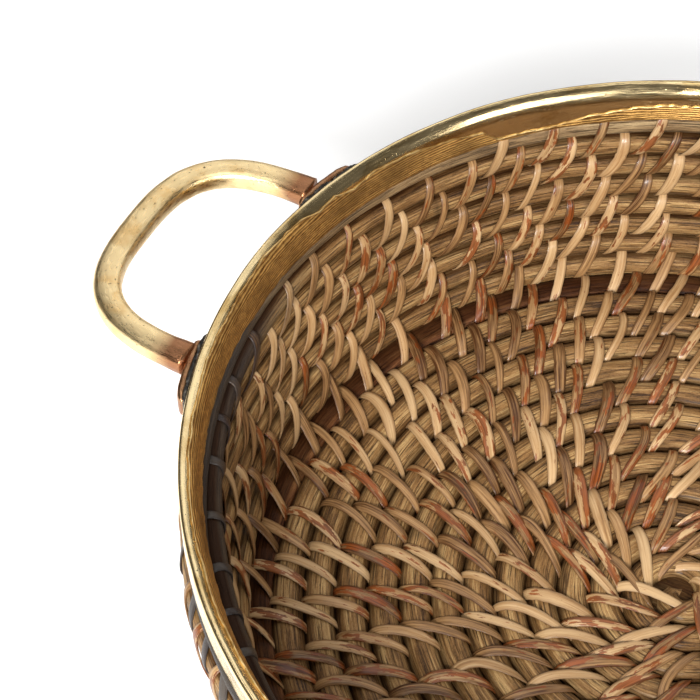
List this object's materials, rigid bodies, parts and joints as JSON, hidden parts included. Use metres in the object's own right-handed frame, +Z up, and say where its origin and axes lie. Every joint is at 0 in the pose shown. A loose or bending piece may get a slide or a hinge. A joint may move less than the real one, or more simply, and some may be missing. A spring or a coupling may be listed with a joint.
{
  "type": "coiled rattan serving tray",
  "caption": "Deep round serving tray of coiled rattan core lashed with cane strips, with a brass rim channel and two fixed brass loop handles.",
  "frame": {"origin": "on the table, on the tray's axis, under the middle of the base", "axes": "+Z up along the tray's axis, X through the two handles, Y across them"},
  "size_m": [0.4506, 0.3525, 0.098],
  "materials": {
    "rattan": "semi-matt, fine lengthwise fibres",
    "dark_rattan": "semi-matt, dark red-brown",
    "scorched_rattan": "matt, scorched grey",
    "cane": "satin, patches of glossy red-brown skin",
    "scorched_cane": "satin, scorched",
    "polished_brass": "polished, a few casting pits",
    "rough_brass": "rough, chased",
    "braze": "bright, uneven bead",
    "solder": "rough, blackened"
  },
  "bodies": {
    "root": {"base_core": "rattan", "corner_core": "dark_rattan", "wall_core": "rattan", "top_core": "scorched_rattan", "rim_core": "scorched_rattan", "centre_lashing": "cane", "base_lashing": "cane", "corner_lashing": "cane", "wall_lashing": "cane", "top_lashing": "scorched_cane", "rim_hoop": "polished_brass", "rim_inner_band": "rough_brass", "rim_braze_seam": "braze", "left_handle": "polished_brass", "right_handle": "polished_brass", "left_front_pad": "rough_brass", "left_rear_pad": "rough_brass", "right_front_pad": "rough_brass", "right_rear_pad": "rough_brass", "left_front_solder": "solder", "left_rear_solder": "solder", "right_front_solder": "solder", "right_rear_solder": "solder"}
  },
  "joints": []
}
